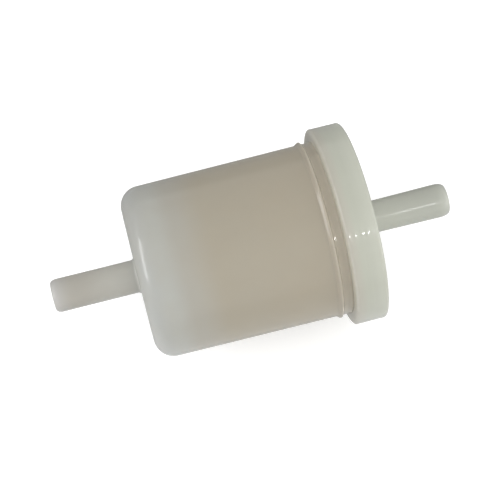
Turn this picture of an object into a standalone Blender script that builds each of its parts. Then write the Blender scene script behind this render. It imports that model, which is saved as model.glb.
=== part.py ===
"""In-line fuel filter for a small engine: a welded nylon cup and cap around a pleated-paper element.

The filter's axis lies along X. The inlet spigot points to -X and the outlet spigot to +X, and the origin is
the centre of the whole length, on the axis. Fuel enters the cup, passes through the paper from outside to
inside, and leaves through the cap's hollow boss. Every piece is drawn on one datum, the outer face of the
cup's bottom, and the datum is then placed so that the origin falls in the middle.
"""

import math

import bmesh
import bpy
from mathutils import Vector

MM = 0.001
GAP = 0.3 * MM  # between pieces that touch on the real filter
ROUND_SHELL = 40  # sides of the turned cup and cap
ROUND_INNER = 32  # sides of the turned inner pieces

# Lengths along the axis
INLET_LENGTH = 20.8 * MM
CUP_LENGTH = 47.8 * MM  # cup bottom to the cap's skirt
CAP_WIDTH = 7.9 * MM
OUTLET_LENGTH = 21.6 * MM

# Hose spigots, for 8 mm hose
INLET_ROOT_RADIUS = 4.0 * MM
INLET_TIP_RADIUS = 4.05 * MM
INLET_TIP_ROUNDING = 1.6 * MM
OUTLET_ROOT_RADIUS = 3.9 * MM
OUTLET_TIP_RADIUS = 4.1 * MM
OUTLET_TIP_ROUNDING = 2.3 * MM
BORE_RADIUS = 2.9 * MM
SPIGOT_FILLET = 0.8 * MM
TIP_FLAT = 0.2 * MM  # width of the flat ring at each spigot's tip

# Cup
CUP_BOTTOM_RADIUS = 20.95 * MM
CUP_RIM_RADIUS = 21.3 * MM
CUP_WALL = 1.5 * MM
CUP_CORNER = 4.8 * MM
BEAD_CENTRE = 45.2 * MM
BEAD_WIDTH = 2.0 * MM
BEAD_HEIGHT = 0.6 * MM
RIM_INSERTION = 3.4 * MM  # how far the rim enters the cap's groove

# Cap
CAP_RADIUS = 24.3 * MM
SKIRT_ROUNDING = 1.5 * MM  # of the cap's edge towards the cup, measured towards the axis
SKIRT_RUN = 0.7 * MM  # the same rounding, measured along the axis
FACE_ROUNDING = 0.7 * MM  # of the cap's edge towards the outlet
CAP_PLATE = 2.3 * MM
TONGUE_THICKNESS = 2.7 * MM
TONGUE_LENGTH = 5.4 * MM
BOSS_RADIUS = 5.0 * MM
BOSS_LENGTH = 7.8 * MM

# Filter element
ELEMENT_START = 13.2 * MM  # underside of the lower disc, from the cup's bottom
DISC_RADIUS = 18.5 * MM
DISC_THICKNESS = 1.2 * MM
TRAY_RIM = 0.5 * MM
POTTING_DEPTH = 1.0 * MM
HOLE_RADIUS = 7.7 * MM  # in the upper ring, around the seal
PLEATS = 56
PLEAT_OUTER_RADIUS = 17.9 * MM
PLEAT_INNER_RADIUS = 9.8 * MM
PAPER = 0.35 * MM
PLEAT_TIP_HALF = 0.5 * MM
PLEAT_VALLEY_HALF = 0.1 * MM
CORE_RADIUS = 9.4 * MM
CORE_WALL = 0.9 * MM
WINDOW_ROWS = 4
WINDOW_COLUMNS = 6
WINDOW_WIDTH = 5.0 * MM
WINDOW_HEIGHT = 4.6 * MM

# Outlet seal
SEAL_LENGTH = 2.2 * MM
SEAL_EDGE = 0.5 * MM

# Places that follow, from the datum at the cup's bottom
OVERALL_LENGTH = INLET_LENGTH + CUP_LENGTH + CAP_WIDTH + OUTLET_LENGTH
DATUM_X = INLET_LENGTH - OVERALL_LENGTH / 2
CAP_FACE = CUP_LENGTH + CAP_WIDTH
PLATE_INSIDE = CAP_FACE - CAP_PLATE
TONGUE_END = PLATE_INSIDE - TONGUE_LENGTH
RIM_END = CUP_LENGTH + RIM_INSERTION
RING_TOP = TONGUE_END - GAP
RING_BOTTOM = RING_TOP - DISC_THICKNESS
TRAY_DEPTH = GAP + POTTING_DEPTH + GAP
MEDIA_START = ELEMENT_START + DISC_THICKNESS + TRAY_DEPTH
MEDIA_END = RING_BOTTOM - TRAY_DEPTH


def plastic(name, colour, roughness, transmission=0.0):
    """A Principled material: colour is linear RGB."""
    made = bpy.data.materials.new(name)
    made.use_nodes = True
    shader = made.node_tree.nodes["Principled BSDF"]
    shader.inputs["Base Color"].default_value = (*colour, 1.0)
    shader.inputs["Roughness"].default_value = roughness
    shader.inputs["Metallic"].default_value = 0.0
    shader.inputs["Transmission Weight"].default_value = transmission
    return made


def quarter(start, end, corner, steps):
    """Points of a quarter ellipse from start to end that bulges towards corner; start and end included."""
    centre = (start[0] + end[0] - corner[0], start[1] + end[1] - corner[1])
    points = []
    for step in range(steps + 1):
        turn = math.pi / 2 * step / steps
        points.append(
            (
                centre[0] + (start[0] - centre[0]) * math.cos(turn) + (end[0] - centre[0]) * math.sin(turn),
                centre[1] + (start[1] - centre[1]) * math.cos(turn) + (end[1] - centre[1]) * math.sin(turn),
            )
        )
    return points


def add_object(name, bm, material, datum):
    """Turns a bmesh into a smooth-shaded object of one material, placed on the datum."""
    bmesh.ops.recalc_face_normals(bm, faces=bm.faces[:])
    mesh = bpy.data.meshes.new(name)
    bm.to_mesh(mesh)
    bm.free()
    mesh.materials.append(material)
    mesh.shade_smooth()
    mesh.set_sharp_from_angle(angle=math.radians(35))
    made = bpy.data.objects.new(name, mesh)
    made.parent = datum
    bpy.context.scene.collection.objects.link(made)
    return made


def turned(name, outline, material, datum, sides):
    """Spins a closed outline of (x, radius) points about the X axis."""
    bm = bmesh.new()
    verts = [bm.verts.new((x, 0.0, radius)) for x, radius in outline]
    edges = [bm.edges.new((verts[i - 1], verts[i])) for i in range(len(verts))]
    bmesh.ops.spin(
        bm,
        geom=verts + edges,
        cent=(0, 0, 0),
        axis=(1, 0, 0),
        angle=2 * math.pi,
        steps=sides,
        use_merge=True,
    )
    bmesh.ops.remove_doubles(bm, verts=bm.verts[:], dist=1e-6)
    return add_object(name, bm, material, datum)


def cup_outline():
    tip = -INLET_LENGTH
    tip_flat = BORE_RADIUS + TIP_FLAT
    round_end = tip + INLET_TIP_ROUNDING
    outside = quarter((tip, tip_flat), (round_end, INLET_TIP_RADIUS), (tip, INLET_TIP_RADIUS), 4)
    root = INLET_ROOT_RADIUS
    outside += quarter((-SPIGOT_FILLET, root), (0, root + SPIGOT_FILLET), (0, root), 2)
    outside += quarter(
        (0, CUP_BOTTOM_RADIUS - CUP_CORNER), (CUP_CORNER, CUP_BOTTOM_RADIUS), (0, CUP_BOTTOM_RADIUS), 6
    )
    outside += bead_points()
    outside.append((RIM_END, CUP_RIM_RADIUS))
    rim_inner = CUP_RIM_RADIUS - CUP_WALL
    bottom_inner = CUP_BOTTOM_RADIUS - CUP_WALL
    corner = CUP_CORNER - CUP_WALL
    inside = [(RIM_END, rim_inner)]
    inside += quarter(
        (CUP_WALL + corner, bottom_inner), (CUP_WALL, bottom_inner - corner), (CUP_WALL, bottom_inner), 4
    )
    mouth = (CUP_WALL, BORE_RADIUS + SPIGOT_FILLET)
    inside += quarter(mouth, (CUP_WALL - SPIGOT_FILLET, BORE_RADIUS), (CUP_WALL, BORE_RADIUS), 2)
    inside.append((tip, BORE_RADIUS))
    return outside + inside


def cup_radius(x):
    """The wall's outer radius at x, which grows with the mould's draft from the corner to the rim."""
    share = (x - CUP_CORNER) / (RIM_END - CUP_CORNER)
    return CUP_BOTTOM_RADIUS + share * (CUP_RIM_RADIUS - CUP_BOTTOM_RADIUS)


def bead_points():
    """The half-round bead that runs round the cup just short of the cap."""
    points = []
    steps = 5
    for step in range(steps + 1):
        turn = math.pi * step / steps
        x = BEAD_CENTRE - BEAD_WIDTH / 2 * math.cos(turn)
        points.append((x, cup_radius(x) + BEAD_HEIGHT * math.sin(turn)))
    return points


def cap_outline():
    tip = CAP_FACE + OUTLET_LENGTH
    tip_flat = BORE_RADIUS + TIP_FLAT
    skirt_inner = CUP_RIM_RADIUS + GAP
    tongue_outer = CUP_RIM_RADIUS - CUP_WALL - GAP
    groove_floor = RIM_END + GAP
    boss_end = PLATE_INSIDE - BOSS_LENGTH
    root = OUTLET_ROOT_RADIUS
    skirt_start = (CUP_LENGTH, CAP_RADIUS - SKIRT_ROUNDING)
    outside = quarter(skirt_start, (CUP_LENGTH + SKIRT_RUN, CAP_RADIUS), (CUP_LENGTH, CAP_RADIUS), 4)
    face_start = (CAP_FACE, CAP_RADIUS - FACE_ROUNDING)
    outside += quarter((CAP_FACE - FACE_ROUNDING, CAP_RADIUS), face_start, (CAP_FACE, CAP_RADIUS), 3)
    outside += quarter(
        (CAP_FACE, root + SPIGOT_FILLET), (CAP_FACE + SPIGOT_FILLET, root), (CAP_FACE, root), 2
    )
    outside += quarter(
        (tip - OUTLET_TIP_ROUNDING, OUTLET_TIP_RADIUS), (tip, tip_flat), (tip, OUTLET_TIP_RADIUS), 4
    )
    inside = [
        (tip, BORE_RADIUS),
        (boss_end, BORE_RADIUS),
        (boss_end, BOSS_RADIUS),
        (PLATE_INSIDE, BOSS_RADIUS),
        (PLATE_INSIDE, tongue_outer - TONGUE_THICKNESS),
        (TONGUE_END, tongue_outer - TONGUE_THICKNESS),
        (TONGUE_END, tongue_outer),
        (groove_floor, tongue_outer),
        (groove_floor, skirt_inner),
        (CUP_LENGTH, skirt_inner),
    ]
    return outside + inside


def lower_disc_outline():
    floor = ELEMENT_START + DISC_THICKNESS
    rim_inner = DISC_RADIUS - TRAY_RIM
    return [
        (ELEMENT_START, 0.0),
        (ELEMENT_START, DISC_RADIUS - TRAY_RIM),
        (ELEMENT_START + TRAY_RIM, DISC_RADIUS),
        (MEDIA_START, DISC_RADIUS),
        (MEDIA_START, rim_inner),
        (floor, rim_inner),
        (floor, 0.0),
    ]


def upper_ring_outline():
    rim_inner = DISC_RADIUS - TRAY_RIM
    return [
        (RING_TOP, HOLE_RADIUS),
        (RING_TOP, DISC_RADIUS - TRAY_RIM),
        (RING_TOP - TRAY_RIM, DISC_RADIUS),
        (MEDIA_END, DISC_RADIUS),
        (MEDIA_END, rim_inner),
        (RING_BOTTOM, rim_inner),
        (RING_BOTTOM, HOLE_RADIUS + TRAY_RIM),
        (MEDIA_END, HOLE_RADIUS + TRAY_RIM),
        (MEDIA_END, HOLE_RADIUS),
    ]


def potting_outline(start, inner_radius):
    """A flat layer of cured adhesive; an inner radius of zero makes it a full disc."""
    outer = DISC_RADIUS - TRAY_RIM - GAP
    end = start + POTTING_DEPTH
    return [(start, inner_radius), (start, outer), (end, outer), (end, inner_radius)]


def seal_outline():
    """A rubber ring that fills the space between the boss and the upper ring's hole."""
    inner = BOSS_RADIUS + GAP
    outer = HOLE_RADIUS - GAP
    start = RING_TOP - SEAL_LENGTH
    end = RING_TOP
    outline = quarter((start, inner + SEAL_EDGE), (start + SEAL_EDGE, inner), (start, inner), 2)
    outline += quarter((end - SEAL_EDGE, inner), (end, inner + SEAL_EDGE), (end, inner), 2)
    outline += quarter((end, outer - SEAL_EDGE), (end - SEAL_EDGE, outer), (end, outer), 2)
    outline += quarter((start + SEAL_EDGE, outer), (start, outer - SEAL_EDGE), (start, outer), 2)
    return outline


def pleat_loop(tip_radius, tip_half, valley_radius, valley_half):
    """(y, z) points round a star of flat-tipped pleats."""
    points = []
    for pleat in range(PLEATS):
        middle = 2 * math.pi * pleat / PLEATS
        valley = middle + math.pi / PLEATS
        for radius, turn in (
            (tip_radius, middle - tip_half / tip_radius),
            (tip_radius, middle + tip_half / tip_radius),
            (valley_radius, valley - valley_half / valley_radius),
            (valley_radius, valley + valley_half / valley_radius),
        ):
            points.append((radius * math.sin(turn), radius * math.cos(turn)))
    return points


def pleated_media(material, datum):
    """One folded sheet of paper closed into a tube, with both faces of the sheet and its cut ends."""
    outer = pleat_loop(PLEAT_OUTER_RADIUS, PLEAT_TIP_HALF, PLEAT_INNER_RADIUS + PAPER, PLEAT_VALLEY_HALF)
    inner = pleat_loop(
        PLEAT_OUTER_RADIUS - PAPER, PLEAT_TIP_HALF - PAPER, PLEAT_INNER_RADIUS, PLEAT_VALLEY_HALF + PAPER
    )
    bm = bmesh.new()
    rings = []
    for x, loop in ((MEDIA_START, outer), (MEDIA_END, outer), (MEDIA_END, inner), (MEDIA_START, inner)):
        rings.append([bm.verts.new((x, y, z)) for y, z in loop])
    for ring in range(4):
        here = rings[ring]
        there = rings[(ring + 1) % 4]
        for i in range(len(here)):
            bm.faces.new((here[i - 1], here[i], there[i], there[i - 1]))
    return add_object("pleated_media", bm, material, datum)


def window_cutter(datum):
    """Blocks that cut the windows of the support tube, in rows along the axis and columns round it."""
    bm = bmesh.new()
    length = MEDIA_END - MEDIA_START
    for row in range(WINDOW_ROWS):
        x = MEDIA_START + length * (row + 0.5) / WINDOW_ROWS
        for column in range(WINDOW_COLUMNS):
            turn = 2 * math.pi * (column + 0.5) / WINDOW_COLUMNS
            outward = Vector((0, math.sin(turn), math.cos(turn)))
            across = Vector((0, math.cos(turn), -math.sin(turn)))
            block = bmesh.ops.create_cube(bm, size=1.0)["verts"]
            for vert in block:
                along, side, depth = vert.co
                vert.co = (
                    Vector((x + along * WINDOW_HEIGHT, 0, 0))
                    + across * (side * WINDOW_WIDTH)
                    + outward * (CORE_RADIUS + depth * 4 * CORE_WALL)
                )
    mesh = bpy.data.meshes.new("window_cutter")
    bmesh.ops.recalc_face_normals(bm, faces=bm.faces[:])
    bm.to_mesh(mesh)
    bm.free()
    cutter = bpy.data.objects.new("window_cutter", mesh)
    cutter.parent = datum
    cutter.hide_render = True
    cutter.display_type = "WIRE"
    bpy.context.scene.collection.objects.link(cutter)
    return cutter


def centre_core(material, datum):
    """The support tube inside the pleats, with windows that let the fuel through."""
    inner = CORE_RADIUS - CORE_WALL
    outline = [
        (MEDIA_START, inner),
        (MEDIA_START, CORE_RADIUS),
        (MEDIA_END, CORE_RADIUS),
        (MEDIA_END, inner),
    ]
    core = turned("centre_core", outline, material, datum, ROUND_INNER)
    windows = core.modifiers.new("windows", "BOOLEAN")
    windows.operation = "DIFFERENCE"
    windows.solver = "EXACT"
    windows.object = window_cutter(datum)
    return core


def clear_scene():
    for old in list(bpy.data.objects):
        bpy.data.objects.remove(old, do_unlink=True)


def build():
    clear_scene()
    datum = bpy.data.objects.new("cup_bottom_datum", None)
    datum.location = (DATUM_X, 0, 0)
    bpy.context.scene.collection.objects.link(datum)

    milky_nylon = plastic("milky_nylon", (0.56, 0.55, 0.48), 0.28, 0.35)
    cap_nylon = plastic("cap_nylon", (0.62, 0.64, 0.54), 0.24, 0.15)
    filter_paper = plastic("filter_paper", (0.52, 0.40, 0.25), 0.9)
    disc_nylon = plastic("disc_nylon", (0.60, 0.54, 0.42), 0.5)
    potting_resin = plastic("potting_resin", (0.50, 0.42, 0.27), 0.45)
    core_nylon = plastic("core_nylon", (0.62, 0.60, 0.52), 0.5)
    seal_rubber = plastic("seal_rubber", (0.03, 0.03, 0.03), 0.6)

    turned("filter_cup", cup_outline(), milky_nylon, datum, ROUND_SHELL)
    turned("outlet_cap", cap_outline(), cap_nylon, datum, ROUND_SHELL)
    pleated_media(filter_paper, datum)
    centre_core(core_nylon, datum)
    turned("lower_end_disc", lower_disc_outline(), disc_nylon, datum, ROUND_INNER)
    turned("upper_end_ring", upper_ring_outline(), disc_nylon, datum, ROUND_INNER)
    lower_start = ELEMENT_START + DISC_THICKNESS + GAP
    turned("lower_potting", potting_outline(lower_start, 0.0), potting_resin, datum, ROUND_INNER)
    upper_start = RING_BOTTOM - GAP - POTTING_DEPTH
    ring_inner = HOLE_RADIUS + TRAY_RIM + GAP
    turned("upper_potting", potting_outline(upper_start, ring_inner), potting_resin, datum, ROUND_INNER)
    turned("outlet_seal", seal_outline(), seal_rubber, datum, ROUND_INNER)


build()
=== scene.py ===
"""Looks of the in-line fuel filter: fine turned shells, folded paper and milky nylon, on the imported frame.

The filter's axis is X, with the inlet spigot at -X. Lengths along the axis are counted from the outer face of
the cup's bottom, which is called the datum here. An outline is a closed list of points, each with its length
from the datum and its radius. A piece's fine mesh keeps the sizes of the CAD solid that it replaces.
"""

import math
import random

import bmesh
import bpy
from mathutils import Matrix, Vector, noise


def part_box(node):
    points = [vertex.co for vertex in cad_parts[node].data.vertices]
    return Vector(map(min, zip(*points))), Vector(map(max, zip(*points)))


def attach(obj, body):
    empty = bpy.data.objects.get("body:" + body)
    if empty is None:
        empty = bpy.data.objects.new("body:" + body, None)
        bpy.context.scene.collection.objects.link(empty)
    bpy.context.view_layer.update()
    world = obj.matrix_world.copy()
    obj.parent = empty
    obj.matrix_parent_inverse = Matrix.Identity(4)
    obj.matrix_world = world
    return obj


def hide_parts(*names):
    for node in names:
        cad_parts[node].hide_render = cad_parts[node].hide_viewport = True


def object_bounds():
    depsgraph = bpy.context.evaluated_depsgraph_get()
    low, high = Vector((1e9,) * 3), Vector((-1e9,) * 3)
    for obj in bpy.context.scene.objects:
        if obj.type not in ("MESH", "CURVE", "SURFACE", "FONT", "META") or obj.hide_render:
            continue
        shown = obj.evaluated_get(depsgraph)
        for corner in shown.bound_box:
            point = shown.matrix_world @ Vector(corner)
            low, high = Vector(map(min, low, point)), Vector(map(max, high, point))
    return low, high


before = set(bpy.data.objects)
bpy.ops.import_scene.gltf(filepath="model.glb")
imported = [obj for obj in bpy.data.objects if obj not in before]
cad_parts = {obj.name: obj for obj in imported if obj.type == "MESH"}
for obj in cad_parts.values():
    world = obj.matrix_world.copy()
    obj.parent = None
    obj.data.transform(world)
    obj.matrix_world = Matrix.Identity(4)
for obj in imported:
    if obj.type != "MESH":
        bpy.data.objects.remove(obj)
cad_low, cad_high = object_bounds()

MM = 0.001
TURN = 2 * math.pi

# Sizes of the mouldings, as the CAD has them
GAP = 0.3 * MM
INLET_LENGTH = 20.8 * MM
OUTLET_LENGTH = 21.6 * MM
CAP_WIDTH = 7.9 * MM
INLET_ROOT_RADIUS = 4.0 * MM
INLET_TIP_RADIUS = 4.05 * MM
INLET_TIP_ROUNDING = 1.6 * MM
OUTLET_ROOT_RADIUS = 3.9 * MM
OUTLET_TIP_RADIUS = 4.1 * MM
OUTLET_TIP_ROUNDING = 2.3 * MM
OUTLET_SWELL = 3.4 * MM  # length of the slightly swollen tip
BORE_RADIUS = 2.9 * MM
TIP_FLAT = 0.2 * MM
SPIGOT_FILLET = 0.8 * MM
CUP_BOTTOM_RADIUS = 20.95 * MM
CUP_RIM_RADIUS = 21.3 * MM
CUP_WALL = 1.5 * MM
CUP_CORNER = 4.8 * MM
BEAD_CENTRE = 45.2 * MM
BEAD_HEIGHT = 0.6 * MM
SKIRT_ROUNDING = 1.5 * MM  # of the cap's edge towards the cup, measured towards the axis
SKIRT_RUN = 0.7 * MM  # the same rounding, measured along the axis
FACE_ROUNDING = 0.7 * MM  # of its edge towards the outlet
CAP_PLATE = 2.3 * MM
TONGUE_THICKNESS = 2.7 * MM
TONGUE_LENGTH = 5.4 * MM
BOSS_RADIUS = 5.0 * MM
DISC_THICKNESS = 1.2 * MM
TRAY_RIM = 0.5 * MM
PLEATS = 56
CORE_WALL = 0.9 * MM
WINDOW_ROWS = 4
WINDOW_COLUMNS = 6
WINDOW_WIDTH = 5.0 * MM
WINDOW_HEIGHT = 4.6 * MM

# Places from the frame
datum_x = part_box("filter_cup")[0].x + INLET_LENGTH
rim_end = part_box("filter_cup")[1].x - datum_x
cap_face = cad_high.x - datum_x - OUTLET_LENGTH
cap_start = cap_face - CAP_WIDTH
cap_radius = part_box("outlet_cap")[1].z
boss_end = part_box("outlet_cap")[0].x - datum_x

# Fineness of the meshes
SHELL_SIDES = 192
INNER_SIDES = 128
ARC_STEPS = 10

# Details that the CAD leaves out or simplifies
BEAD_RISE = 1.2 * MM  # length of the bead's flank towards the cup's bottom
BEAD_FALL = 0.5 * MM  # length of its flank towards the cap
LEDGE_PLACE = BEAD_CENTRE + 0.36 * MM  # middle of a faint ledge at the foot of that flank
LEDGE_REACH = 0.65 * MM
LEDGE_HEIGHT = 0.034 * MM
RIDGES = ((0.7, 1.15), (2.2, 0.6), (3.8, 0.68), (5.2, 0.9), (6.4, 0.27))  # (mm from the skirt's start, share)
RIDGE_WIDTH = 1.3 * MM
RIDGE_HEIGHT = 0.026 * MM  # of a turned ridge on the cap's skirt whose share is one
CUP_WAVER = 0.03 * MM  # how far a wall wanders from a true circle
CAP_WAVER = 0.02 * MM
WAVER_ALONG = 40  # how quickly it wanders, per metre along the axis and round it
WAVER_ROUND = 60
TRAY_EDGE = 0.2 * MM  # how far its corners are eased
SEAL_EDGE = 0.7 * MM
PAPER = 0.35 * MM  # thickness of the sheet
PAPER_CLEARANCE = 0.4 * MM  # from the support tube to the inner folds
PAPER_SEED = 12
WINDOW_CORNER = 0.8 * MM
RESIN_CLIMB = 0.14 * MM  # of the cured layer, at the tray's rim
RESIN_REACH = 0.4 * MM  # how far from the rim it climbs

# Camera: the viewing angle on the filter lying on its side
CAMERA_AZIMUTH = -14.63
CAMERA_ELEVATION = 73.76
CAMERA_DISTANCE = 0.3614
CAMERA_TARGET = Vector((-0.49, -0.54, -0.19)) * MM
CAMERA_LENS = 107.6

# Light
WORLD_BELOW = 1.3  # strength on the side that is down in the picture
WORLD_ABOVE = 0.88
FLOOR_HALF = 1.5
FLOOR_GLOW = 0.2  # keeps the floor white in the picture, also near the filter
BOUNCE_BELOW = 0.7  # what the floor throws back on the filter, on the two sides of its axis
BOUNCE_ABOVE = 0.3
BOUNCE_REACH = 0.03  # half the width of the strip of floor in which it changes
GLINT_PLACE = Vector((0.106, -0.184, 0.310))
GLINT_SIZE = (0.035, 0.008)
GLINT_POWER = 0.058
LAMP_DISTANCE = 0.6
SOFTBOX_SIDE = (-0.9, 0.02, 0.43)  # its way from the filter: shares of right, up and back
SOFTBOX_SIZE = (0.45, 0.16)
SOFTBOX_POWER = 1.2
FILL_SIDE = (0.95, 0.0, 0.3)
FILL_SIZE = (0.5, 0.35)
FILL_POWER = 0.8


# ---------------------------------------------------------------- outlines


def quarter(start, end, corner, steps=ARC_STEPS):
    """Points of a quarter ellipse from start to end that bulges towards corner; start and end included."""
    centre = [start[k] + end[k] - corner[k] for k in (0, 1)]
    points = []
    for step in range(steps + 1):
        turn = TURN / 4 * step / steps
        points.append(
            tuple(
                centre[k] + (start[k] - centre[k]) * math.cos(turn) + (end[k] - centre[k]) * math.sin(turn)
                for k in (0, 1)
            )
        )
    return points


def spread(start, end, steps):
    """Points between start and end, both left out, so that a long wall has rings to carry its waver."""
    return [tuple(start[k] + (end[k] - start[k]) * step / steps for k in (0, 1)) for step in range(1, steps)]


def eased(outline, radius, steps=3):
    """The closed outline with every corner rounded, except those on the axis."""
    points = []
    count = len(outline)
    for i in range(count):
        here = Vector(outline[i])
        back = Vector(outline[i - 1]) - here
        ahead = Vector(outline[(i + 1) % count]) - here
        if here.y == 0:
            points.append(tuple(here))
            continue
        reach = min(radius, back.length * 0.45, ahead.length * 0.45)
        start = here + back.normalized() * reach
        end = here + ahead.normalized() * reach
        for step in range(steps + 1):
            t = step / steps
            points.append(tuple(start * (1 - t) ** 2 + here * (2 * t * (1 - t)) + end * t**2))
    return points


def cup_radius(x):
    """The cup wall's outer radius at x, which grows with the mould's draft."""
    share = (x - CUP_CORNER) / (rim_end - CUP_CORNER)
    return CUP_BOTTOM_RADIUS + share * (CUP_RIM_RADIUS - CUP_BOTTOM_RADIUS)


def swell(away):
    """A smooth hump over the distance from its middle: one at the middle, zero from one onwards."""
    return 0.5 + 0.5 * math.cos(math.pi * min(abs(away), 1.0))


def bead_points(steps=30):
    """The rounded bead just short of the cap, and the faint ledge at its foot."""
    start = BEAD_CENTRE - BEAD_RISE
    end = LEDGE_PLACE + LEDGE_REACH
    points = []
    for step in range(steps + 1):
        x = start + (end - start) * step / steps
        flank = BEAD_RISE if x < BEAD_CENTRE else BEAD_FALL
        bead = BEAD_HEIGHT * swell((x - BEAD_CENTRE) / flank)
        ledge = LEDGE_HEIGHT * swell((x - LEDGE_PLACE) / LEDGE_REACH)
        points.append((x, cup_radius(x) + max(bead, ledge)))
    return points


def cup_outline():
    """The cup from the inlet's tip along its outside to the rim, and back along its inside."""
    tip = -INLET_LENGTH
    tip_flat = (tip, BORE_RADIUS + TIP_FLAT)
    tip_end = (tip + INLET_TIP_ROUNDING, INLET_TIP_RADIUS)
    root = (-SPIGOT_FILLET, INLET_ROOT_RADIUS)
    foot = (0, INLET_ROOT_RADIUS + SPIGOT_FILLET)
    corner_start = (0, CUP_BOTTOM_RADIUS - CUP_CORNER)
    corner_end = (CUP_CORNER, CUP_BOTTOM_RADIUS)
    bead = bead_points()
    outside = quarter(tip_flat, tip_end, (tip, INLET_TIP_RADIUS))
    outside += spread(tip_end, root, 8) + quarter(root, foot, (0, INLET_ROOT_RADIUS))
    outside += spread(foot, corner_start, 6) + quarter(corner_start, corner_end, (0, CUP_BOTTOM_RADIUS), 18)
    outside += spread(corner_end, bead[0], 20) + bead
    outside += [(rim_end, CUP_RIM_RADIUS)]
    inner_radius = CUP_BOTTOM_RADIUS - CUP_WALL
    inner_corner = CUP_CORNER - CUP_WALL
    rim = (rim_end, CUP_RIM_RADIUS - CUP_WALL)
    wall_end = (CUP_CORNER, inner_radius)
    floor_start = (CUP_WALL, inner_radius - inner_corner)
    mouth = (CUP_WALL, BORE_RADIUS + SPIGOT_FILLET)
    inside = [rim] + spread(rim, wall_end, 12) + quarter(wall_end, floor_start, (CUP_WALL, inner_radius))
    inside += quarter(mouth, (CUP_WALL - SPIGOT_FILLET, BORE_RADIUS), (CUP_WALL, BORE_RADIUS))
    inside += [(tip, BORE_RADIUS)]
    return outside + inside


def ridge_share(x):
    """How high the skirt stands at x from its start, as a share of RIDGE_HEIGHT."""
    return max(height * swell((x - place * MM) / (RIDGE_WIDTH / 2)) for place, height in RIDGES)


def cap_outline():
    """The cap from the skirt's start over its face to the outlet's tip, and back along its inside."""
    tip = cap_face + OUTLET_LENGTH
    skirt_start = (cap_start + SKIRT_RUN, cap_radius)
    skirt_end = (cap_face - FACE_ROUNDING, cap_radius)
    face_start = (cap_face, cap_radius - FACE_ROUNDING)
    face_end = (cap_face, OUTLET_ROOT_RADIUS + SPIGOT_FILLET)
    root = (cap_face + SPIGOT_FILLET, OUTLET_ROOT_RADIUS)
    swollen = (tip - OUTLET_SWELL, OUTLET_TIP_RADIUS)
    tip_start = (tip - OUTLET_TIP_ROUNDING, OUTLET_TIP_RADIUS)
    outside = quarter((cap_start, cap_radius - SKIRT_ROUNDING), skirt_start, (cap_start, cap_radius))
    for x, radius in spread(skirt_start, skirt_end, 60):
        outside.append((x, radius - RIDGE_HEIGHT * (1 - ridge_share(x - cap_start))))
    outside += quarter(skirt_end, face_start, (cap_face, cap_radius)) + spread(face_start, face_end, 8)
    outside += quarter(face_end, root, (cap_face, OUTLET_ROOT_RADIUS))
    outside += spread(root, swollen, 8) + [swollen]
    outside += quarter(tip_start, (tip, BORE_RADIUS + TIP_FLAT), (tip, OUTLET_TIP_RADIUS))
    tongue_outer = CUP_RIM_RADIUS - CUP_WALL - GAP
    tongue_inner = tongue_outer - TONGUE_THICKNESS
    tongue_end = cap_face - CAP_PLATE - TONGUE_LENGTH
    groove_floor = rim_end + GAP
    skirt_inner = CUP_RIM_RADIUS + GAP
    inside = [
        (tip, BORE_RADIUS),
        (boss_end, BORE_RADIUS),
        (boss_end, BOSS_RADIUS),
        (cap_face - CAP_PLATE, BOSS_RADIUS),
        (cap_face - CAP_PLATE, tongue_inner),
        (tongue_end, tongue_inner),
        (tongue_end, tongue_outer),
        (groove_floor, tongue_outer),
        (groove_floor, skirt_inner),
        (cap_start + GAP, skirt_inner),
        (cap_start, CUP_RIM_RADIUS),  # the weld closes the joint where the skirt meets the cup
    ]
    return outside + inside


def tray_outline(face, rim, outer, hole):
    """A shallow dish from its flat face to the top of its rim, on either side; hole may be zero."""
    side = math.copysign(1, rim - face)
    floor = face + side * DISC_THICKNESS
    outline = [
        (face, hole),
        (face, outer - TRAY_RIM),
        (face + side * TRAY_RIM, outer),
        (rim, outer),
        (rim, outer - TRAY_RIM),
        (floor, outer - TRAY_RIM),
    ]
    if hole:
        return outline + [(floor, hole + TRAY_RIM), (rim, hole + TRAY_RIM), (rim, hole)]
    return outline + [(floor, 0.0)]


# ---------------------------------------------------------------- meshes


def turned_mesh(name, outline, sides, waver=0.0, shift=None):
    """An outline turned about the X axis.

    waver is how far a moulded wall wanders from a true circle. shift(x, radius, turn) gives a change of x.
    """
    bm = bmesh.new()
    rings = []
    for x, radius in outline:
        ring = []
        for side in range(1 if radius == 0 else sides):
            turn = TURN * side / sides
            y, z = math.sin(turn), math.cos(turn)
            place = Vector((x * WAVER_ALONG, y * radius * WAVER_ROUND, z * radius * WAVER_ROUND))
            here = radius + waver * noise.noise(place)
            along = x + (shift(x, radius, turn) if shift else 0.0)
            ring.append(bm.verts.new((datum_x + along, here * y, here * z)))
        rings.append(ring)
    for i in range(len(rings)):
        here, there = rings[i - 1], rings[i]
        for side in range(sides):
            beside = (side + 1) % sides
            if len(here) > 1 and len(there) > 1:
                bm.faces.new((here[side], there[side], there[beside], here[beside]))
            elif len(here) > 1:
                bm.faces.new((here[side], there[0], here[beside]))
            elif len(there) > 1:
                bm.faces.new((here[0], there[side], there[beside]))
    bmesh.ops.remove_doubles(bm, verts=bm.verts[:], dist=1e-7)
    return closed_mesh(name, bm)


def closed_mesh(name, bm):
    """The finished mesh, with its faces turned outwards."""
    bmesh.ops.recalc_face_normals(bm, faces=bm.faces[:])
    mesh = bpy.data.meshes.new(name)
    bm.to_mesh(mesh)
    bm.free()
    return mesh


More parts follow.
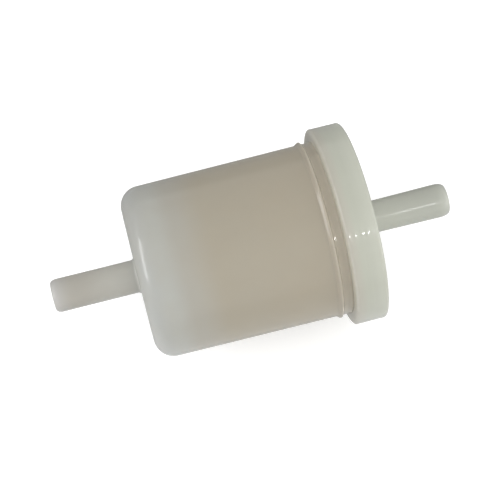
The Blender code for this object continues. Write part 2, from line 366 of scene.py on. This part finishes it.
def add_piece(mesh, material, node, crease=40):
    """The object of a mesh in place of a CAD node, smooth but for edges that bend by over crease degrees."""
    mesh.materials.append(material)
    mesh.shade_smooth()
    mesh.set_sharp_from_angle(angle=math.radians(crease))
    piece = bpy.data.objects.new(mesh.name, mesh)
    bpy.context.scene.collection.objects.link(piece)
    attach(piece, "root")
    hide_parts(node)
    return piece


def node_span(node):
    """A node's start and end along the axis, from the datum, and its outer radius."""
    low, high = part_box(node)
    return low.x - datum_x, high.x - datum_x, high.z


class Pleat:
    """One fold of the paper: how it leans, how deep it goes and how its flanks bow."""

    tip_half = 0.325 * MM  # half the width of the fold at its tip
    valley_half = 0.275 * MM
    most_lean = 0.22 * MM
    most_short = 0.45 * MM
    most_bow = 0.12 * MM
    wander = 0.16 * MM  # how far the lean changes along the fold
    wander_along = 90  # how quickly, per metre
    flank_steps = 5

    def __init__(self, number, draw):
        self.middle = TURN * number / PLEATS
        self.lean = draw.uniform(-self.most_lean, self.most_lean)
        self.short = draw.uniform(0.0, self.most_short)
        self.bow = draw.uniform(-self.most_bow, self.most_bow)
        self.drift = draw.uniform(0, 50)

    def flank(self, start, end):
        """(turn, radius) points between two others, on a line that bows a little."""
        points = []
        for step in range(1, self.flank_steps):
            share = step / self.flank_steps
            radius = start[1] + (end[1] - start[1]) * share
            bow = self.bow * math.sin(math.pi * share) / radius
            points.append((start[0] + (end[0] - start[0]) * share + bow, radius))
        return points

    def points(self, x, outer, inner):
        """(turn, radius) of the sheet's middle at x, over the tip and through the next valley."""
        wander = noise.noise(Vector((x * self.wander_along, self.drift, 0.0)))
        lean = self.lean + self.wander * wander
        top = outer - PAPER / 2 - self.tip_half - self.short * (0.7 + 0.3 * wander)
        foot = inner + PAPER / 2 + self.valley_half
        half_pitch = math.pi / PLEATS
        points = []
        for step in range(7):
            turn = math.pi * step / 6
            radius = top + self.tip_half * math.sin(turn)
            points.append((self.middle + (lean - self.tip_half * math.cos(turn)) / radius, radius))
        start = self.middle + (lean + self.tip_half) / top
        end = self.middle + half_pitch - self.valley_half / foot
        points += self.flank((start, top), (end, foot))
        for step in range(6):
            turn = math.pi * step / 5
            radius = foot - self.valley_half * math.sin(turn)
            points.append((self.middle + half_pitch - self.valley_half * math.cos(turn) / radius, radius))
        return points

    def rise(self, x, outer, inner, after):
        """(turn, radius) of the flank that climbs from the valley to the tip of the pleat after this one."""
        start = self.points(x, outer, inner)[-1]
        turn, radius = after.points(x, outer, inner)[0]
        return self.flank(start, (turn + TURN if turn < start[0] else turn, radius))


def paper_mesh():
    """The folded sheet, closed into a tube: both faces and the cut ends."""
    start, end, outer = node_span("pleated_media")
    inner = node_span("centre_core")[2] + PAPER_CLEARANCE
    draw = random.Random(PAPER_SEED)
    pleats = [Pleat(number, draw) for number in range(PLEATS)]
    stations = 18  # along the folds
    bm = bmesh.new()
    outer_rings = []
    inner_rings = []
    for station in range(stations + 1):
        x = start + (end - start) * station / stations
        line = []
        for number in range(PLEATS):
            pleat = pleats[number]
            line += pleat.points(x, outer, inner)
            line += pleat.rise(x, outer, inner, pleats[(number + 1) % PLEATS])
        flat = [Vector((radius * math.sin(turn), radius * math.cos(turn))) for turn, radius in line]
        outside = []
        inside = []
        for i in range(len(flat)):
            run = (flat[(i + 1) % len(flat)] - flat[i - 1]).normalized()
            out = Vector((-run.y, run.x)) * (PAPER / 2)
            for ring, spot in ((outside, flat[i] + out), (inside, flat[i] - out)):
                ring.append(bm.verts.new((datum_x + x, spot.x, spot.y)))
        outer_rings.append(outside)
        inner_rings.append(inside)
    walk = outer_rings + inner_rings[::-1]
    for ring in range(len(walk)):
        here, there = walk[ring - 1], walk[ring]
        for i in range(len(here)):
            bm.faces.new((here[i - 1], here[i], there[i], there[i - 1]))
    return closed_mesh("paper_folds", bm)


def window_ring(centre_x, centre_turn, radius):
    """Points round one window's rounded rectangle and, in step with them, round the cell about it."""
    start, end, _ = node_span("centre_core")
    half_cell = ((end - start) / WINDOW_ROWS / 2, math.pi / WINDOW_COLUMNS * radius)
    half_window = (WINDOW_HEIGHT / 2, WINDOW_WIDTH / 2)
    window = []
    cell = []
    for side in range(4):
        along = (1, -1, -1, 1)[side]
        across = (1, 1, -1, -1)[side]
        for step in range(5):
            turn = TURN / 4 * (side + step / 4)
            spot = (
                along * (half_window[0] - WINDOW_CORNER) + WINDOW_CORNER * math.cos(turn),
                across * (half_window[1] - WINDOW_CORNER) + WINDOW_CORNER * math.sin(turn),
            )
            window.append(spot)
            if step == 2:
                cell.append((along * half_cell[0], across * half_cell[1]))
            elif (step < 2) == (side % 2 == 0):
                cell.append((along * half_cell[0], spot[1]))
            else:
                cell.append((spot[0], across * half_cell[1]))
    rings = (window, cell)
    return [[(centre_x + along, centre_turn + across / radius) for along, across in ring] for ring in rings]


def rim_place(vert):
    """A point's place along and round the axis, rounded, so that it is the same on the tube's two skins."""
    turn = math.atan2(vert.co.y, vert.co.z)
    return round(vert.co.x / MM, 2), round(math.cos(turn), 4), round(math.sin(turn), 4)


def core_mesh():
    """The support tube: cells with rounded windows, joined into a lattice and given the wall's thickness."""
    start, end, radius = node_span("centre_core")
    inner = radius - CORE_WALL
    bm = bmesh.new()
    between = 6  # steps across the plain strips, so that they follow the curve
    for row in range(WINDOW_ROWS):
        x = start + (end - start) * (row + 0.5) / WINDOW_ROWS
        for column in range(WINDOW_COLUMNS):
            window, cell = window_ring(x, TURN * (column + 0.5) / WINDOW_COLUMNS, radius)
            for level in (inner, radius):
                rings = []
                for step in range(between + 1):
                    share = step / between
                    ring = []
                    for near, far in zip(window, cell):
                        along = near[0] + (far[0] - near[0]) * share
                        turn = near[1] + (far[1] - near[1]) * share
                        spot = (datum_x + along, level * math.sin(turn), level * math.cos(turn))
                        ring.append(bm.verts.new(spot))
                    rings.append(ring)
                for here, there in zip(rings, rings[1:]):
                    for i in range(len(window)):
                        bm.faces.new((here[i - 1], here[i], there[i], there[i - 1]))
    bmesh.ops.remove_doubles(bm, verts=bm.verts[:], dist=1e-6)
    # The two skins are joined by a wall round each window and round both ends
    rims = [edge for edge in bm.edges if edge.is_boundary]
    outer_rims = [edge for edge in rims if math.hypot(*edge.verts[0].co.yz) > (inner + radius) / 2]
    below = {rim_place(vert): vert for edge in rims if edge not in outer_rims for vert in edge.verts}
    for edge in outer_rims:
        first, second = edge.verts
        bm.faces.new((first, second, below[rim_place(second)], below[rim_place(first)]))
    return closed_mesh("core_tube", bm)


def potting_mesh(name, node, inner, towards):
    """A cured layer whose free face climbs a little at its rim and between the folds that stand in it."""
    start, end, outer = node_span(node)
    folds_inner = node_span("centre_core")[2]
    folds_outer = node_span("pleated_media")[2]
    free = end if towards > 0 else start
    back = start if towards > 0 else end

    def rise(x, radius, turn):
        if abs(x - free) > 0.01 * MM:
            return 0.0
        rim = math.exp(-((outer - radius) / RESIN_REACH) ** 2)
        among = 1.0 if folds_inner < radius < folds_outer else 0.0
        ripple = 0.5 - 0.5 * math.cos(2 * PLEATS * turn)
        return towards * RESIN_CLIMB * (rim + 0.6 * among * ripple)

    steps = 24
    outline = [(back, inner), (back, outer)]
    outline += [(free, outer + (inner - outer) * step / steps) for step in range(steps + 1)]
    return turned_mesh(name, outline, PLEATS * 8, shift=rise)


# ---------------------------------------------------------------- materials


class Nodes:
    """Short calls that add shader nodes to one material."""

    def __init__(self, name):
        self.material = bpy.data.materials.new(name)
        self.material.use_nodes = True
        self.tree = self.material.node_tree
        self.shader = self.tree.nodes["Principled BSDF"]
        self.place = self.tree.nodes.new("ShaderNodeTexCoord").outputs["Object"]

    def plug(self, value, socket):
        if isinstance(value, bpy.types.NodeSocket):
            self.tree.links.new(value, socket)
        else:
            socket.default_value = value

    def maths(self, operation, *values):
        node = self.tree.nodes.new("ShaderNodeMath")
        node.operation = operation
        for value, socket in zip(values, node.inputs):
            self.plug(value, socket)
        return node.outputs[0]

    def axes(self):
        node = self.tree.nodes.new("ShaderNodeSeparateXYZ")
        self.tree.links.new(self.place, node.inputs[0])
        return node.outputs

    def along(self):
        """Length from the datum, in metres."""
        return self.maths("SUBTRACT", self.axes()[0], datum_x)

    def radius(self):
        """Distance from the filter's axis, in metres."""
        _, y, z = self.axes()
        squares = self.maths("ADD", self.maths("MULTIPLY", y, y), self.maths("MULTIPLY", z, z))
        return self.maths("SQRT", squares)

    def noise(self, scale, detail=3.0, roughness=0.5, stretch=(1, 1, 1)):
        node = self.tree.nodes.new("ShaderNodeTexNoise")
        node.inputs["Scale"].default_value = scale
        node.inputs["Detail"].default_value = detail
        node.inputs["Roughness"].default_value = roughness
        mapping = self.tree.nodes.new("ShaderNodeMapping")
        mapping.inputs["Scale"].default_value = stretch
        self.tree.links.new(self.place, mapping.inputs["Vector"])
        self.tree.links.new(mapping.outputs[0], node.inputs["Vector"])
        return node.outputs[0]

    def span(self, value, start, end, low=0.0, high=1.0, smooth=True):
        """value's way from start to end as a number from low to high."""
        node = self.tree.nodes.new("ShaderNodeMapRange")
        node.interpolation_type = "SMOOTHSTEP" if smooth else "LINEAR"
        self.plug(value, node.inputs["Value"])
        node.inputs["From Min"].default_value = start
        node.inputs["From Max"].default_value = end
        node.inputs["To Min"].default_value = low
        node.inputs["To Max"].default_value = high
        return node.outputs["Result"]

    def ring(self, value, centre, half_width):
        """One where value is at the centre, falling softly to zero at half_width on both sides."""
        away = self.maths("ABSOLUTE", self.maths("SUBTRACT", value, centre))
        return self.span(away, 0.0, half_width, 1.0, 0.0)

    def ramp(self, value, stops):
        """Colours along value; stops are (value, colour) in rising order."""
        start, end = stops[0][0], stops[-1][0]
        node = self.tree.nodes.new("ShaderNodeValToRGB")
        node.color_ramp.interpolation = "EASE"
        elements = node.color_ramp.elements
        while len(elements) < len(stops):
            elements.new(0.5)
        for element, (place, colour) in zip(elements, stops):
            element.position = (place - start) / (end - start)
            element.color = colour
        self.plug(self.span(value, start, end, smooth=False), node.inputs[0])
        return node.outputs["Color"]

    def blend(self, share, first, second, mode="MIX"):
        node = self.tree.nodes.new("ShaderNodeMix")
        node.data_type = "RGBA"
        node.blend_type = mode
        self.plug(share, node.inputs[0])
        self.plug(first, node.inputs[6])
        self.plug(second, node.inputs[7])
        return node.outputs[2]

    def bump(self, height, distance, strength=1.0):
        node = self.tree.nodes.new("ShaderNodeBump")
        node.inputs["Distance"].default_value = distance
        node.inputs["Strength"].default_value = strength
        self.plug(height, node.inputs["Height"])
        self.tree.links.new(node.outputs[0], self.shader.inputs["Normal"])

    def set(self, **values):
        for name, value in values.items():
            self.plug(value, self.shader.inputs[name.replace("_", " ")])


def shade(red, green, blue):
    """Linear colour of a display colour given from 0 to 255."""
    display = [c / 255 for c in (red, green, blue)]
    return (*(c / 12.92 if c <= 0.04045 else ((c + 0.055) / 1.055) ** 2.4 for c in display), 1.0)


def milky_nylon():
    """The cup's translucent nylon: white over the empty chamber and warmed by the paper behind it, with
    painted light at the bead and by the cap.
    """
    n = Nodes("milky_nylon")
    x = n.along()
    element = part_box("lower_end_disc")[0].x - datum_x
    colour = n.ramp(
        x,
        [
            (-INLET_LENGTH, shade(212, 211, 208)),
            (-16 * MM, shade(201, 198, 189)),
            (-3 * MM, shade(217, 216, 208)),
            (2 * MM, shade(204, 206, 202)),
            (element - 7 * MM, shade(207, 208, 201)),
            (element - 2 * MM, shade(200, 197, 186)),
            (element + 6 * MM, shade(198, 191, 173)),
            (BEAD_CENTRE - 2 * MM, shade(199, 191, 172)),
            # Painted light: the darker stop before the bead's crest tones down its highlight. The bright stop
            # just past the crest is a painted highlight that lifts the shade in the crease at the bead's
            # foot. The light stop at the cap's start lifts the shade that the cap throws on the strip before
            # it.
            (BEAD_CENTRE - 0.4 * MM, shade(191, 183, 166)),
            (BEAD_CENTRE + 0.2 * MM, shade(243, 235, 219)),
            (BEAD_CENTRE + 0.7 * MM, shade(212, 204, 186)),
            (BEAD_CENTRE + 1.6 * MM, shade(209, 201, 183)),
            (cap_start, shade(228, 220, 202)),
            (rim_end, shade(216, 208, 190)),
        ],
    )
    cloud = n.noise(140, 4)
    colour = n.blend(n.span(cloud, 0.3, 0.7, 0.0, 0.10), colour, shade(190, 176, 152))
    n.set(Base_Color=colour)
    n.set(Roughness=n.span(n.noise(300, 2), 0.3, 0.7, 0.30, 0.36))
    n.set(Transmission_Weight=0.52, IOR=1.3)
    n.set(Coat_Weight=0.6, Coat_Roughness=0.1)
    n.bump(n.noise(90, 2), 0.03 * MM)
    return n.material


def cap_nylon():
    """The cap's nylon: thicker, so less see-through, rubbed a little lighter along its edges, and painted
    lighter on the skirt's rounded edge to lift its shade.
    """
    n = Nodes("cap_nylon")
    x = n.along()
    tip = cap_face + OUTLET_LENGTH
    colour = n.ramp(
        x,
        [
            # Painted light: the lighter first stop lifts the shade on the skirt's rounded edge towards the
            # cup.
            (cap_start, shade(203, 199, 185)),
            (cap_start + 0.6 * MM, shade(196, 192, 179)),
            (cap_start + 1.3 * MM, shade(199, 197, 184)),
            (cap_start + 3 * MM, shade(199, 201, 187)),
            (cap_face, shade(211, 213, 199)),
            (cap_face + 2 * MM, shade(209, 211, 199)),
            (tip - OUTLET_SWELL, shade(193, 195, 184)),
            (tip, shade(203, 205, 195)),
        ],
    )
    cloud = n.noise(120, 4)
    colour = n.blend(n.span(cloud, 0.3, 0.7, 0.0, 0.12), colour, shade(188, 190, 172))
    radius = n.radius()
    edges = [n.ring(x, place, 0.6 * MM) for place in (cap_start + 0.4 * MM, cap_face - 0.4 * MM)]
    edges = n.maths("MAXIMUM", *edges)
    edges = n.maths("MULTIPLY", edges, n.span(radius, cap_radius - 1.2 * MM, cap_radius - 0.3 * MM))
    rubbed = n.maths("MULTIPLY", edges, n.span(n.noise(500, 3), 0.35, 0.65, 0.2, 1.0))
    colour = n.blend(n.maths("MULTIPLY", rubbed, 0.15), colour, shade(236, 236, 228))
    n.set(Base_Color=colour)
    n.set(Roughness=n.span(n.noise(300, 2), 0.3, 0.7, 0.29, 0.35))
    n.set(Transmission_Weight=0.35, IOR=1.4)
    n.set(Coat_Weight=0.6, Coat_Roughness=0.08)
    n.bump(n.noise(90, 2), 0.02 * MM)
    return n.material


def filter_paper():
    """Resin-treated filter paper: felted fibres with darker flecks."""
    n = Nodes("filter_paper")
    fibres = n.noise(2500, 6, 0.7, (0.3, 1, 1))
    colour = n.blend(fibres, shade(212, 190, 152), shade(192, 166, 126))
    flecks = n.span(n.noise(900, 2, 0.5, (0.2, 1, 1)), 0.66, 0.72)
    colour = n.blend(n.maths("MULTIPLY", flecks, 0.3), colour, shade(150, 122, 84))
    n.set(Base_Color=colour, Roughness=n.span(fibres, 0.2, 0.8, 0.86, 0.96))
    n.bump(fibres, 0.08 * MM, 0.8)
    return n.material


def moulded_plastic(name, light, dark, roughness):
    """An opaque moulding: faint clouds in the colour and a fine sparked texture from its mould."""
    n = Nodes(name)
    n.set(Base_Color=n.blend(n.span(n.noise(300, 4), 0.3, 0.7), light, dark))
    n.set(Roughness=n.span(n.noise(1200, 3), 0.3, 0.7, roughness - 0.08, roughness + 0.08))
    n.bump(n.noise(1500, 4), 0.04 * MM, 0.6)
    return n.material


def cured_resin():
    """Potting adhesive: amber clouds, small bubbles and a slightly uneven gloss."""
    n = Nodes("potting_resin")
    colour = n.blend(n.span(n.noise(220, 4), 0.3, 0.7), shade(212, 190, 148), shade(190, 164, 120))
    bubbles = n.tree.nodes.new("ShaderNodeTexVoronoi")
    bubbles.inputs["Scale"].default_value = 700
    n.tree.links.new(n.place, bubbles.inputs["Vector"])
    pits = n.span(bubbles.outputs["Distance"], 0.08, 0.2, 1.0, 0.0)
    n.set(Base_Color=n.blend(n.maths("MULTIPLY", pits, 0.4), colour, shade(232, 216, 184)))
    n.set(Roughness=n.span(n.noise(400, 3), 0.3, 0.7, 0.25, 0.5))
    n.bump(n.maths("MULTIPLY", pits, -1.0), 0.05 * MM)
    return n.material


def seal_rubber():
    """Nitrile rubber with a faint bloom."""
    n = Nodes("seal_rubber")
    bloom = n.span(n.noise(700, 5, 0.6), 0.45, 0.75)
    n.set(Base_Color=n.blend(n.maths("MULTIPLY", bloom, 0.5), shade(38, 38, 38), shade(74, 74, 72)))
    n.set(Roughness=n.span(bloom, 0.0, 1.0, 0.5, 0.75))
    n.bump(n.noise(1600, 3), 0.02 * MM)
    return n.material


# ---------------------------------------------------------------- pieces


def build_pieces():
    cup = turned_mesh("cup_shell", cup_outline(), SHELL_SIDES, waver=CUP_WAVER)
    add_piece(cup, milky_nylon(), "filter_cup")
    cap = turned_mesh("cap_shell", cap_outline(), SHELL_SIDES, waver=CAP_WAVER)
    add_piece(cap, cap_nylon(), "outlet_cap")

    add_piece(paper_mesh(), filter_paper(), "pleated_media", crease=75)
    core = moulded_plastic("core_nylon", shade(232, 228, 216), shade(216, 210, 194), 0.5)
    add_piece(core_mesh(), core, "centre_core")

    disc = moulded_plastic("disc_nylon", shade(219, 207, 184), shade(211, 198, 175), 0.5)
    start, end, outer = node_span("lower_end_disc")
    lower = turned_mesh("lower_tray", eased(tray_outline(start, end, outer, 0.0), TRAY_EDGE), INNER_SIDES)
    add_piece(lower, disc, "lower_end_disc")
    start, end, outer = node_span("upper_end_ring")
    seal_start, seal_end, seal_outer = node_span("outlet_seal")
    hole = seal_outer + GAP
    upper = turned_mesh("upper_tray", eased(tray_outline(end, start, outer, hole), TRAY_EDGE), INNER_SIDES)
    add_piece(upper, disc, "upper_end_ring")

    resin = cured_resin()
    lower_layer = potting_mesh("lower_layer", "lower_potting", 0.0, 1)
    add_piece(lower_layer, resin, "lower_potting")
    upper_layer = potting_mesh("upper_layer", "upper_potting", hole + TRAY_RIM + GAP, -1)
    add_piece(upper_layer, resin, "upper_potting")

    seal_inner = BOSS_RADIUS + GAP
    square = [(seal_start, seal_inner), (seal_end, seal_inner)]
    square += [(seal_end, seal_outer), (seal_start, seal_outer)]
    seal = turned_mesh("seal_ring", eased(square, SEAL_EDGE, 6), INNER_SIDES)
    add_piece(seal, seal_rubber(), "outlet_seal")


# ---------------------------------------------------------------- camera, floor and light


def view_axes():
    """Right, up and back directions of the camera."""
    azimuth = math.radians(CAMERA_AZIMUTH)
    elevation = math.radians(CAMERA_ELEVATION)
    level = math.cos(elevation)
    right = Vector((math.cos(azimuth), math.sin(azimuth), 0))
    back = Vector((math.sin(azimuth) * level, -math.cos(azimuth) * level, math.sin(elevation)))
    return right, back.cross(right), back


def aimed(direction, across):
    """The rotation of a camera or a lamp that stands this way, looks back, and has its width along across."""
    back = direction.normalized()
    right = (across - back * across.dot(back)).normalized()
    return Matrix((right, back.cross(right), back)).transposed().to_quaternion()


def add_camera():
    right, _, back = view_axes()
    data = bpy.data.cameras.new("camera")
    data.lens = CAMERA_LENS
    data.sensor_width = 36
    data.clip_start = 0.01
    data.clip_end = 20
    camera = bpy.data.objects.new("camera", data)
    camera.location = CAMERA_TARGET + back * CAMERA_DISTANCE
    camera.rotation_mode = "QUATERNION"
    camera.rotation_quaternion = aimed(back, right)
    bpy.context.scene.collection.objects.link(camera)
    bpy.context.scene.camera = camera


def add_area(name, place, across, size, power):
    """An area light at a place, facing the origin; size is its width along across, and its height."""
    data = bpy.data.lights.new(name, "AREA")
    data.shape = "RECTANGLE"
    data.size, data.size_y = size
    data.energy = power
    light = bpy.data.objects.new(name, data)
    light.location = place
    light.rotation_mode = "QUATERNION"
    light.rotation_quaternion = aimed(place, across)
    bpy.context.scene.collection.objects.link(light)


def add_stage():
    """A plain near-white floor that throws less light on the filter than it shows in the picture.

    The held-down bounce keeps the filter's rims as dark as in the soft daylight of the photograph.
    """
    mesh = bpy.data.meshes.new("floor")
    corners = [(-1, -1), (1, -1), (1, 1), (-1, 1)]
    mesh.from_pydata([(x * FLOOR_HALF, y * FLOOR_HALF, cad_low.z) for x, y in corners], [], [(0, 1, 2, 3)])
    n = Nodes("floor_paper")
    seen = n.tree.nodes.new("ShaderNodeLightPath").outputs["Is Camera Ray"]
    white = n.blend(n.noise(30, 2), (0.95, 0.95, 0.95, 1), (0.97, 0.97, 0.97, 1))
    across = n.axes()[1]
    bounce = n.span(across, -BOUNCE_REACH, BOUNCE_REACH, BOUNCE_BELOW, BOUNCE_ABOVE)
    grey = n.blend(bounce, (0, 0, 0, 1), (1, 1, 1, 1))
    n.set(Base_Color=n.blend(seen, grey, white))
    n.set(Emission_Color=(1, 1, 1, 1), Emission_Strength=n.maths("MULTIPLY", seen, FLOOR_GLOW))
    n.set(Roughness=0.9, Specular_IOR_Level=0.0)
    mesh.materials.append(n.material)
    floor = bpy.data.objects.new("floor", mesh)
    bpy.context.scene.collection.objects.link(floor)


def add_world():
    """Soft light from all round, a little darker on the side that is up in the picture."""
    world = bpy.data.worlds.new("studio")
    world.use_nodes = True
    tree = world.node_tree
    background = tree.nodes["Background"]
    dot = tree.nodes.new("ShaderNodeVectorMath")
    dot.operation = "DOT_PRODUCT"
    dot.inputs[1].default_value = view_axes()[1]
    tree.links.new(tree.nodes.new("ShaderNodeTexCoord").outputs["Generated"], dot.inputs[0])
    strength = tree.nodes.new("ShaderNodeMapRange")
    strength.inputs["From Min"].default_value = -1
    strength.inputs["From Max"].default_value = 1
    strength.inputs["To Min"].default_value = WORLD_BELOW
    strength.inputs["To Max"].default_value = WORLD_ABOVE
    tree.links.new(dot.outputs["Value"], strength.inputs["Value"])
    tree.links.new(strength.outputs["Result"], background.inputs["Strength"])
    background.inputs["Color"].default_value = (1, 1, 1, 1)
    bpy.context.scene.world = world


def add_lights():
    """A small lamp for the glints, a soft one from the left and a wide weak one from the right."""
    add_area("glint_lamp", GLINT_PLACE, Vector((1, 0, 0)), GLINT_SIZE, GLINT_POWER)
    axes = view_axes()
    for name, side, size, power in (
        ("softbox", SOFTBOX_SIDE, SOFTBOX_SIZE, SOFTBOX_POWER),
        ("fill", FILL_SIDE, FILL_SIZE, FILL_POWER),
    ):
        way = sum((axis * share for axis, share in zip(axes, side)), Vector())
        add_area(name, way * LAMP_DISTANCE, axes[1], size, power)


add_camera()
build_pieces()
add_stage()
add_world()
add_lights()
bpy.context.scene.view_settings.view_transform = "Standard"
